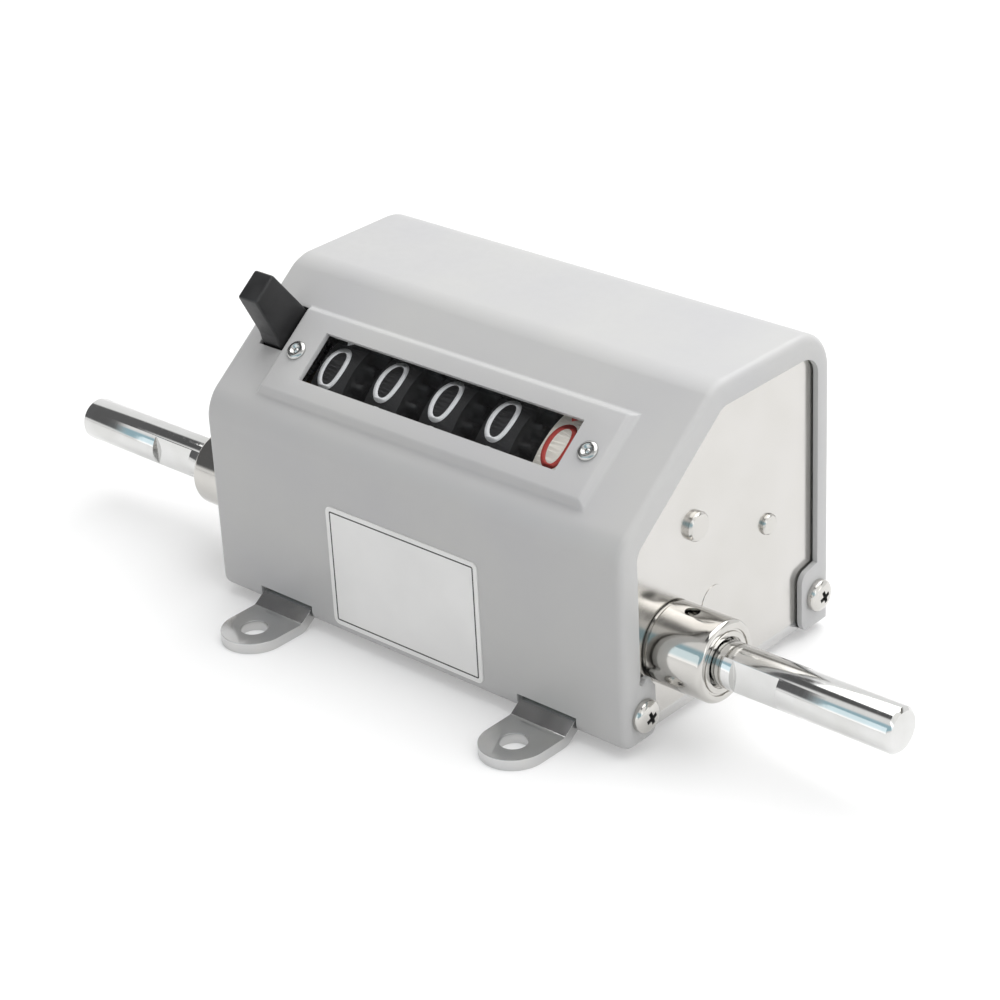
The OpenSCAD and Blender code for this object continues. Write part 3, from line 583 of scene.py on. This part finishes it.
    # Openings above the lugs, in the walls and in the rolled lower edge
    wall = lambda f: abs(f.normal.y) > 0.999
    notch = LUG_R + 0.5
    for x in (-LUG_X - notch, -LUG_X + notch, LUG_X - notch, LUG_X + notch):
        pick("FACE", lambda f: wall(f) or (abs(f.normal.x) < 0.01 and middle(f).z < (COVER_LOW + CURL) * MM))
        cut(at(x, 0, 0), (1, 0, 0))
    pick("FACE", wall)
    cut(at(0, 0, FLOOR_TOP + 0.5), (0, 0, 1))
    pick("FACE", lambda f: abs(abs(middle(f).x) - LUG_X * MM) < notch * MM
        and middle(f).z < (FLOOR_TOP + 0.5) * MM)
    bpy.ops.mesh.delete(type="FACE")
    leave()
    face_out(piece)
    modifier(piece, "SOLIDIFY", thickness=SHEET * MM, offset=-1, use_even_offset=True, use_rim=True)
    slot_low = KEY_LEFT - 2 * KEY_GAP, KEY_LOW - KEY_GAP, -6
    slot_high = KEY_RIGHT + KEY_GAP, KEY_HIGH + KEY_GAP, 6
    cut_away(piece, slope_block("key_slot", slot_low, slot_high))
    for side in (-1, 1):
        reach = sorted((side * (CASE_HALF - 2.5), side * (CASE_HALF + 1)))
        cut_away(piece, drum("bush_scallop", at(reach[0], SHAFT_Y, SHAFT_Z), at(reach[1], SHAFT_Y, SHAFT_Z),
            BUSH_R + 0.5))
        cut_away(piece, drum("tab_notch", at(reach[0], FRONT_SCREW[0], FRONT_TAB_TOP),
            at(reach[1], FRONT_SCREW[0], FRONT_TAB_TOP), 0.8, 32))
        for edge_y, inward in ((FRONT_Y + FRONT_TAB_W, -1), (BACK_Y - REAR_TAB_W, 1)):
            spread_y = sorted((edge_y - inward, edge_y + inward * TAB_ROUND))
            corner = block("tab_corner", at(reach[0], spread_y[0], COVER_LOW - 1),
                at(reach[1], spread_y[1], COVER_LOW + TAB_ROUND))
            centre = edge_y + inward * TAB_ROUND, COVER_LOW + TAB_ROUND
            cut_away(corner, drum("tab_round", at(reach[0] - 1, *centre), at(reach[1] + 1, *centre),
                TAB_ROUND, 48))
            cut_away(piece, corner)
    soften(piece, 0.12, 2)
    return piece


finish_piece(make_cover(), paint("cover_paint", 190), "case", "cover", "cover")
nodes["window_pane"].data.materials.clear()
clear_pane().on(nodes["window_pane"])


def make_window_rivets():
    """Tubular rivets with a rolled rim."""
    loop = [(-0.8, 0), (-0.8, 1.5), (-0.4, 1.6), (-0.4, 1), (1.5, 1), (1.5, 1.85), (1.62, 1.9),
        (1.92, 1.78), (2.13, 1.48), (2.2, 1.15), (2.12, 0.88), (1.86, 0.7), (1.76, 0.5), (1.93, 0.3), (2, 0)]
    rivet = turned("window_rivet_right", loop, facing(OFF_SLOPE, slope_at(RIVET_X, WINDOW_S, 0)), 48)
    smooth(rivet, 50)
    return rivet, copy_of(rivet, "window_rivet_left", Matrix.Translation(at(-2 * RIVET_X, 0, 0)))


rivet_metal = bright_metal("rivet_nickel", (196, 196, 194), 0.22)
for rivet in make_window_rivets():
    finish_piece(rivet, rivet_metal, "case", "window_rivets", "window_rivets")


def make_label():
    """Sticker with rounded corners; its border line is a strip of faces of its own."""
    piece = block("front_label", at(LABEL_LEFT, FRONT_Y - LABEL_T, LABEL_LOW),
        at(LABEL_RIGHT, FRONT_Y, LABEL_HIGH))
    edit(piece)
    pick("EDGE", lambda e: abs(e.verts[0].co.y - e.verts[1].co.y) > LABEL_T / 2 * MM)
    bpy.ops.mesh.bevel(offset=LABEL_ROUND * MM, segments=6, profile=0.5, affect="EDGES")
    pick("FACE", lambda f: f.normal.y < -0.99)
    bpy.ops.mesh.inset(thickness=BORDER_IN * MM)
    bpy.ops.mesh.inset(thickness=BORDER_W * MM)
    leave()
    return piece


def ink_border(label):
    """Gives the strip of faces between the two insets the ink."""
    label.data.materials.append(label_ink().made)
    for face in label.data.polygons:
        x, z = face.center.x / MM, face.center.z / MM
        from_edge = min(x - LABEL_LEFT, LABEL_RIGHT - x, z - LABEL_LOW, LABEL_HIGH - z)
        if face.normal.y < -0.99 and BORDER_IN < from_edge < BORDER_IN + BORDER_W:
            face.material_index = 1


label = make_label()
finish_piece(label, label_paper(), "case", "label_plate", "label_plate")
ink_border(label)


def make_cover_screw():
    """Pan head with a cross recess, its seat on the right-hand end of the cover."""
    seat = Matrix.Translation(at(CASE_HALF, *FRONT_SCREW))
    thread_r, thread_end = 1.5, -4.4
    loop = [(thread_end, 0), (thread_end, thread_r), (0, thread_r), (0, HEAD_R - 0.1), (0.1, HEAD_R),
        (HEAD_EDGE, HEAD_R)]
    turns = [t * math.pi / 16 for t in range(1, 8)]
    loop += [(HEAD_EDGE + DOME * math.sin(turn), HEAD_R * math.cos(turn)) for turn in turns]
    loop += [(HEAD_EDGE + DOME, 0)]
    screw = turned("cover_screw_right_front", loop, seat, 64)
    for angle in (20, 110):
        slot = block("slot", at(RECESS_FLOOR, -RECESS_HALF_L, -RECESS_HALF_W),
            at(3, RECESS_HALF_L, RECESS_HALF_W))
        edit(slot)
        pick("FACE", lambda f: f.normal.x < -0.9)
        bpy.ops.transform.resize(value=(1, 0.6, 0.8), center_override=(0, 0, 0))
        leave()
        slot.data.transform(seat @ Matrix.Rotation(math.radians(angle), 4, "X"))
        cut_away(screw, slot)
    soften(screw, 0.05, 2, 40)
    return screw


def darken_recess(screw):
    """Gives the faces that lie inside the cross recess, below the dome, the second finish: a dark colour that
    paints in the shade of the recess.
    """
    screw.data.materials.append(recess_painted_shade.made)
    points = [v.co for v in screw.data.vertices]
    middle_y, middle_z = [sum(p[k] for p in points) / len(points) for k in (1, 2)]
    for face in screw.data.polygons:
        out = abs(face.center.x) / MM - CASE_HALF
        off = math.hypot(face.center.y - middle_y, face.center.z - middle_z) / MM
        in_slots = out > RECESS_FLOOR - 0.05 and off < RECESS_HALF_L + 0.1
        if in_slots and out < HEAD_EDGE + DOME * math.sqrt(1 - (off / HEAD_R) ** 2) - 0.15:
            face.material_index = 1


# Painted shade: a dark colour laid into the screws' cross recesses, where the nickel is only in shadow
recess_painted_shade = Finish("painted_recess_shade", srgb(52, 52, 51), 0.5)
screw_metal = bright_metal("screw_nickel", (206, 204, 200), 0.16)
screw = make_cover_screw()
mirror_x = Matrix.Scale(-1, 4, (1, 0, 0))
to_rear = Matrix.Translation(at(0, REAR_SCREW[0] - FRONT_SCREW[0], REAR_SCREW[1] - FRONT_SCREW[1]))
for piece in (screw, copy_of(screw, "cover_screw_right_rear", to_rear),
              copy_of(screw, "cover_screw_left_front", mirror_x),
              copy_of(screw, "cover_screw_left_rear", mirror_x @ to_rear)):
    finish_piece(piece, screw_metal, "case", "cover_screws", "cover_screws")
    # Paints shade into the cross recess of each screw
    darken_recess(piece)


def make_base():
    """Base sheet: the floor's top face, drawn out into four lugs, then given its thickness."""
    centre = at(0, (FLOOR_FRONT + FLOOR_BACK) / 2, FLOOR_TOP)
    bpy.ops.mesh.primitive_plane_add(size=1, location=centre)
    piece = named("base_sheet")
    edit(piece)
    bpy.ops.mesh.select_all(action="SELECT")
    bpy.ops.transform.resize(value=at(2 * PLATE_OUT, FLOOR_BACK - FLOOR_FRONT, 1), center_override=centre)
    for x in (-LUG_X - LUG_R, -LUG_X + LUG_R, LUG_X - LUG_R, LUG_X + LUG_R):
        bpy.ops.mesh.select_all(action="SELECT")
        cut(at(x, 0, 0), (1, 0, 0))
    tip = HOLE_Y + LUG_R
    for side, edge_y in ((-1, FLOOR_FRONT), (1, FLOOR_BACK)):
        pick("EDGE", lambda e: abs(middle(e).y - edge_y * MM) < 0.01 * MM
            and abs(abs(middle(e).x) - LUG_X * MM) < 0.01 * MM)
        for y, fall in ((LUG_BEND - abs(edge_y), 0), (LUG_FALL, FLOOR_T - FLOOR_TOP),
                        (tip - LUG_BEND - LUG_FALL, 0)):
            extrude(at(0, side * y, fall))
    pick("VERT", lambda v: abs(abs(v.co.y) - tip * MM) < 0.01 * MM)
    bpy.ops.mesh.bevel(offset=(LUG_R - 0.01) * MM, segments=14, profile=0.5, affect="VERTICES")
    for y, size in ((LUG_BEND, 0.9), (LUG_BEND + LUG_FALL, 0.3)):
        pick("EDGE", lambda e: abs(abs(middle(e).y) - y * MM) < 0.02 * MM
            and abs(e.verts[0].co.x - e.verts[1].co.x) > 5 * MM)
        bpy.ops.mesh.bevel(offset=size * MM, segments=4, profile=0.5, affect="EDGES")
    leave()
    face_out(piece)
    if sum(f.normal.z for f in piece.data.polygons) < 0:
        edit(piece)
        bpy.ops.mesh.select_all(action="SELECT")
        bpy.ops.mesh.flip_normals()
        leave()
    modifier(piece, "SOLIDIFY", thickness=FLOOR_T * MM, offset=-1, use_even_offset=True, use_rim=True)
    for x in (-LUG_X, LUG_X):
        for y in (-HOLE_Y, HOLE_Y):
            cut_away(piece, drum("lug_hole", at(x, y, -1), at(x, y, 4), LUG_HOLE_R, 48))
    soften(piece, 0.3, 3, 50)
    return piece


finish_piece(make_base(), lug_metal(), "case", "base_plate", "base_plate")


def make_bush(name, end):
    """Turned boss with a rounded rim, a ring groove in its face and an oil hole on top."""
    neck_from, neck_r, bore_r = PLATE_IN - 2.5, 5, SHAFT_R + 0.06
    shoulder, rim, ring_out, ring_in = PLATE_OUT + 0.5, 0.9, 5.8, 5.3
    loop = [(neck_from, bore_r), (neck_from, neck_r), (PLATE_OUT, neck_r), (PLATE_OUT, BUSH_R - 0.5),
        (shoulder, BUSH_R - 0.5), (shoulder, BUSH_R - 0.08), (shoulder + 0.1, BUSH_R)]
    loop += arc(end - rim, BUSH_R - rim, rim, 90, 0, 8)
    loop += [(end, ring_out), (end - 0.08, ring_out - 0.05), (end - 0.35, ring_out - 0.08),
        (end - 0.35, ring_in + 0.08), (end - 0.08, ring_in + 0.05), (end, ring_in),
        (end, SHAFT_R + 0.5), (end - 0.1, SHAFT_R + 0.4), (end - 0.4, bore_r)]
    bush = turned(name, loop, Matrix.Translation(at(0, SHAFT_Y, SHAFT_Z)), 128)
    hole_x, hole_r = end - 6.8, 1.3
    cut_away(bush, drum("oil_hole", at(hole_x, SHAFT_Y, SHAFT_Z),
        at(hole_x, SHAFT_Y, SHAFT_Z + BUSH_R + 1.8), hole_r, 40))
    soften(bush, 0.08, 2, 40)
    return bush


bush_metal = bright_metal("bush_nickel", (204, 202, 198), 0.1, (1, 0.06, 0.06), size=0.6)
right_bush = make_bush("bush_body_right", PLATE_OUT + BUSH_OUT_RIGHT)
left_bush = make_bush("bush_body_left", PLATE_OUT + BUSH_OUT_LEFT)
left_bush.data.transform(mirror_x)
face_out(left_bush)
smooth(left_bush, 32)
finish_piece(right_bush, bush_metal, "case", "bush_right", "bush_right")
finish_piece(left_bush, bush_metal, "case", "bush_left", "bush_left")


def make_shaft():
    """Ground steel shaft with a chamfer at each end, a flat near each bush and two grooves."""
    left, right = [end.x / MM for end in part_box("drive_shaft")]
    chamfer, width, deep = 0.6, 1.2, 0.2
    past_bush = 0.3
    loop = [(left, 0), (left, SHAFT_R - chamfer), (left + chamfer, SHAFT_R)]
    for groove in (-PLATE_OUT - BUSH_OUT_LEFT - past_bush, PLATE_OUT + BUSH_OUT_RIGHT + past_bush - width):
        loop += [(groove, SHAFT_R), (groove, SHAFT_R - deep), (groove + width, SHAFT_R - deep),
            (groove + width, SHAFT_R)]
    loop += [(right - chamfer, SHAFT_R), (right, SHAFT_R - chamfer), (right, 0)]
    shaft = turned("through_shaft", loop, Matrix.Translation(at(0, SHAFT_Y, SHAFT_Z)), 96)
    flat_y = SHAFT_Y - SHAFT_R + 1.25
    for low, high in ((right - 30.7, right - 21.6), (left + 20.5, left + 30.4)):
        cut_away(shaft, block("flat", at(low, SHAFT_Y - 6, SHAFT_Z - 6), at(high, flat_y, SHAFT_Z + 6)))
    soften(shaft, 0.1, 2, 38)
    return shaft


finish_piece(make_shaft(), shaft_steel(), "shaft", "drive_shaft", "drive_shaft")


def make_pin(name, y, z, radius, end, chamfer):
    """Plain rod across the case, with chamfered ends."""
    loop = [(-end, 0), (-end, radius - chamfer), (chamfer - end, radius), (end - chamfer, radius),
        (end, radius - chamfer), (end, 0)]
    pin = turned(name, loop, Matrix.Translation(at(0, y, z)), 64)
    soften(pin, 0.06, 2, 38)
    return pin


pin_steel = bright_metal("pin_steel", (206, 204, 200), 0.2)
finish_piece(make_pin("wheel_rod", WHEEL_Y, WHEEL_Z, ARBOR_R, PLATE_OUT + 1.2, 0.4), pin_steel,
    "case", "wheel_arbor", "wheel_arbor")
finish_piece(make_pin("rocking_rod", ROCK_Y, ROCK_Z, ROCK_R, PLATE_OUT + 0.8, 0.3), pin_steel,
    "reset_frame", "rock_shaft", "rock_shaft")


# Number wheels and their digits

DIGIT_H, DIGIT_W, DIGIT_LIFT = 8.8, 5.2, 0.02
SHOWN_AT = 122.8       # angle of the digit in the window about the wheels' axis, from +Y
OUTER_ROLL = 4         # the outer two wheels show their digit this many degrees lower
STRIP = 0.85           # width of the strips that a flat digit is cut into before it is wrapped


def flat_digits():
    """The ten digits as flat meshes, each centred, scaled so that the nought has its real size."""
    made = []
    for digit in range(10):
        bpy.ops.object.text_add()
        text = bpy.context.object
        text.data.body = str(digit)
        text.data.offset = -0.008
        text.data.resolution_u = 8
        take(text)
        bpy.ops.object.convert(target="MESH")
        text = bpy.context.object
        text.name = text.data.name = "digit_%d" % digit
        made.append(text)
    corners = [v.co for v in made[0].data.vertices]
    low = Vector([min(c[k] for c in corners) for k in range(3)])
    high = Vector([max(c[k] for c in corners) for k in range(3)])
    for text in made:
        wide = [v.co.x for v in text.data.vertices]
        centre = (min(wide) + max(wide)) / 2
        size = Matrix.Diagonal((DIGIT_W * MM / (high.x - low.x), DIGIT_H * MM / (high.y - low.y), 1, 1))
        text.data.transform(size @ Matrix.Translation((-centre, -(low.y + high.y) / 2, 0)))
    return made


def make_digits():
    """All ten digits, cut into strips, wrapped on the middle wheel and given a printed thickness."""
    rows = flat_digits()
    for digit, piece in enumerate(rows):
        edit(piece)
        y = -DIGIT_H / 2 + STRIP
        while y < DIGIT_H / 2:
            bpy.ops.mesh.select_all(action="SELECT")
            cut(at(0, y, 0), (0, 1, 0))
            y += STRIP
        leave()
        for vert in piece.data.vertices:
            x, y = vert.co.x, vert.co.y
            angle = math.radians(SHOWN_AT + 36 * digit) - y / (WHEEL_R * MM)
            vert.co = Vector((x, WHEEL_Y * MM, WHEEL_Z * MM)) + (WHEEL_R + DIGIT_LIFT) * MM * Vector(
                (0, math.cos(angle), math.sin(angle)))
    take(rows[0], *rows[1:])
    bpy.ops.object.join()
    piece = rows[0]
    piece.name = piece.data.name = "digits_3"
    piece.data.transform(Matrix.Translation(at(DIGIT_X, 0, 0)))
    edit(piece)
    bpy.ops.mesh.select_all(action="SELECT")
    bpy.ops.mesh.remove_doubles(threshold=0.002 * MM)
    leave()
    modifier(piece, "SOLIDIFY", thickness=0.06 * MM, offset=-1)
    return piece


axis_place = Matrix.Translation(at(0, WHEEL_Y, WHEEL_Z))
black_plastic = plastic("wheel_black", (40, 40, 41), 0.55, 0.5, 0.002)
black_plastic.set("Specular IOR Level", 0.3)
white_plastic = plastic("wheel_white", (234, 230, 221), 0.45, 0.5, 0.002)
digit_white = Finish("digit_white", srgb(224, 226, 228), 0.5)
digit_red = Finish("digit_red", srgb(176, 58, 50), 0.5)
digits = make_digits()
for number in range(1, 6):
    body = "wheel_body_%d" % number
    wheel = merged("wheel_%d" % number)
    finish_piece(wheel, white_plastic if number == 5 else black_plastic, body, "wheel_%d" % number,
        "wheel_%d" % number)
    rolled = OUTER_ROLL if number in (1, 5) else 0
    place = Matrix.Translation(at((number - 3) * WHEEL_PITCH, 0, 0)) @ axis_place @ \
        Matrix.Rotation(math.radians(rolled), 4, "X") @ axis_place.inverted()
    row = copy_of(digits, "number_print_%d" % number, place)
    finish_piece(row, digit_red if number == 5 else digit_white, body, "wheel_%d" % number)
bpy.data.objects.remove(digits)


# Reset key


def make_key():
    """Plastic cap that narrows towards its top, with a small foot at the slot."""
    key = slope_block("push_key", (KEY_LEFT, KEY_LOW, KEY_SUNK), (KEY_RIGHT, KEY_HIGH, KEY_TOP))
    edit(key)
    for h in (KEY_FOOT, KEY_WAIST):
        bpy.ops.mesh.select_all(action="SELECT")
        cut(slope_at(0, 0, h), OFF_SLOPE)
    level = lambda v: slope_of(v.co)[2]
    front = lambda v: slope_of(v.co)[1] < (KEY_LOW + KEY_HIGH) / 2
    pick("VERT", lambda v: level(v) > KEY_TOP - 0.1 and front(v))
    move(UP_SLOPE * 2.4 * MM)
    pick("VERT", lambda v: level(v) > KEY_TOP - 0.1 and not front(v))
    move(UP_SLOPE * -0.2 * MM)
    pick("VERT", lambda v: abs(level(v) - KEY_WAIST) < 0.1 and front(v))
    move(UP_SLOPE * 0.8 * MM)
    leave()
    soften(key, 0.45, 4, 12)
    return key


key_black = plastic("key_black", (34, 34, 35), 0.4, 0.35, 0.008)
finish_piece(make_key(), key_black, "key", "reset_key", "reset_key")


# Inner pieces keep their solids and get their own finish

brass = bright_metal("gear_brass", (206, 170, 98), 0.24)
steel = bright_metal("plain_steel", (178, 178, 174), 0.3)
dark_steel = bright_metal("hardened_steel", (88, 88, 90), 0.38)
spring_steel = bright_metal("spring_steel", (150, 152, 156), 0.25)
pinion_plastic = plastic("pinion_natural", (214, 210, 198), 0.45)
plate_nickel = side_nickel()
for finish, names in (
    (plate_nickel, ("side_plate_left", "side_plate_right", "plate_plugs")),
    (brass, ("drive_gear", "input_gear", "spacer_left", "spacer_right")),
    (steel, ("base_rivets", "bush_nuts", "gear_pin", "shaft_collar", "clutch_washer", "pinion_shaft",
        "pinion_spacers", "frame_arm_left", "frame_arm_right", "key_blade", "blade_stud", "spring_post")),
    (dark_steel, ("collar_screw", "reset_comb", "rock_clips")),
    (spring_steel, ("return_spring",)),
    (pinion_plastic, ["pinion_%d" % number for number in range(1, 5)]),
):
    finish.on(*[nodes[name] for name in names])


# Camera, lights and floor

CAMERA_TURN = -43.25, 27.33, -3.13     # yaw, pitch downwards and roll, in degrees
CAMERA_TARGET, CAMERA_AWAY, CAMERA_LENS = (-3.47, 0, 20.82), 491.69, 99.806
TABLE_MIDDLE = at(0, 0, 20)
WORLD_LIGHT = 0.5                      # what the world lights the object with, against 1 where it is seen
FLOOR_GLOW = 0.25                      # what the floor adds where it is seen, so that it reads as white

# What reflections see above the object, as strips that run along X: low and high angle over the front
# horizon, the X part of the direction where the strip fades in and where it is full, and its colour
STRIPS = (
    (6, 40, -0.7, -0.6, (170, 202, 214)),
    (64, 112, -2, -1.5, (96, 96, 97)),
    (10, 112, -0.6, -0.68, (104, 104, 105)),
    (90, 152, 0.1, 0.3, (128, 126, 122)),
)
STRIP_EDGE = 4


def make_camera():
    """The camera at the photo's angle, looking at its target from its distance."""
    yaw, pitch, roll = [math.radians(a) for a in CAMERA_TURN]
    forward = Vector((math.sin(yaw) * math.cos(pitch), math.cos(yaw) * math.cos(pitch), -math.sin(pitch)))
    level_right = forward.cross(Vector((0, 0, 1))).normalized()
    level_up = level_right.cross(forward)
    right = math.cos(roll) * level_right + math.sin(roll) * level_up
    up = math.cos(roll) * level_up - math.sin(roll) * level_right
    place = Matrix((right, up, -forward)).transposed().to_4x4()
    place.translation = at(*CAMERA_TARGET) - forward * CAMERA_AWAY * MM
    bpy.ops.object.camera_add()
    camera = bpy.context.object
    camera.matrix_world = place
    camera.data.lens, camera.data.sensor_width, camera.data.sensor_fit = CAMERA_LENS, 36, "HORIZONTAL"
    camera.data.clip_start, camera.data.clip_end = 0.01, 20
    bpy.context.scene.camera = camera


def soft_lamp(name, place, size, power):
    """A square lamp that faces the object; its size is in metres and its power in watts."""
    bpy.ops.object.light_add(type="AREA", location=place)
    lamp = bpy.context.object
    lamp.name = name
    lamp.rotation_euler = (TABLE_MIDDLE - place).to_track_quat("-Z", "Y").to_euler()
    lamp.data.shape, lamp.data.size, lamp.data.energy = "SQUARE", size, power


def ray(web, kind):
    """1 for rays of that kind, such as Camera, and 0 for the others."""
    return Level(web, web.node("ShaderNodeLightPath").outputs["Is %s Ray" % kind])


def seen_directly(web):
    """1 for rays from the camera, and for those that reflections and glass send on."""
    total = ray(web, "Camera") + ray(web, "Glossy") + ray(web, "Transmission")
    return total.math("MINIMUM", total, 1)


def make_floor():
    """A round pale floor that the object stands on."""
    bpy.ops.mesh.primitive_circle_add(vertices=64, radius=3, fill_type="NGON", location=(0, 0, 0))
    floor = named("floor")
    finish = Finish("floor_white", srgb(224, 224, 224), 1.0)
    finish.set("Specular IOR Level", 0.0)
    glow = [FLOOR_GLOW] * 3 + [1]
    finish.set("Emission Color", finish.mix(seen_directly(finish), srgb(0, 0, 0), glow))
    finish.set("Emission Strength", 1)
    finish.on(floor)


def make_world():
    """White studio, in which reflections also see the strips."""
    world = bpy.data.worlds.new("studio")
    bpy.context.scene.world = world
    world.use_nodes = True
    web = Web(world.node_tree)
    glossy = ray(web, "Glossy")
    way = web.node("ShaderNodeSeparateXYZ", {}, {0: web.place})
    across, back_way, up = [Level(web, way.outputs[axis]) for axis in "XYZ"]
    height = up.math("ARCTAN2", up, 0 - back_way) * (180 / math.pi)
    colour = srgb(255, 255, 255)
    for low, high, fade, full, shade in STRIPS:
        over_low = web.spread(height, low - STRIP_EDGE, low + STRIP_EDGE)
        under_high = web.spread(height, high + STRIP_EDGE, high - STRIP_EDGE)
        inside = over_low * under_high * web.spread(across, fade, full)
        colour = web.mix(inside * glossy, colour, srgb(*shade))
    back = world.node_tree.nodes["Background"]
    web.link(colour, back.inputs["Color"])
    web.link(seen_directly(web) * (1 - WORLD_LIGHT) + WORLD_LIGHT, back.inputs["Strength"])


make_camera()
make_floor()
make_world()
soft_lamp("overhead", at(100, 350, 900), 1.2, 10.2)
soft_lamp("front_fill", at(-200, -950, 60), 0.8, 1.2)
soft_lamp("side_panel", at(900, 100, 500), 1.0, 3)

bpy.context.scene.view_settings.view_transform = "Standard"
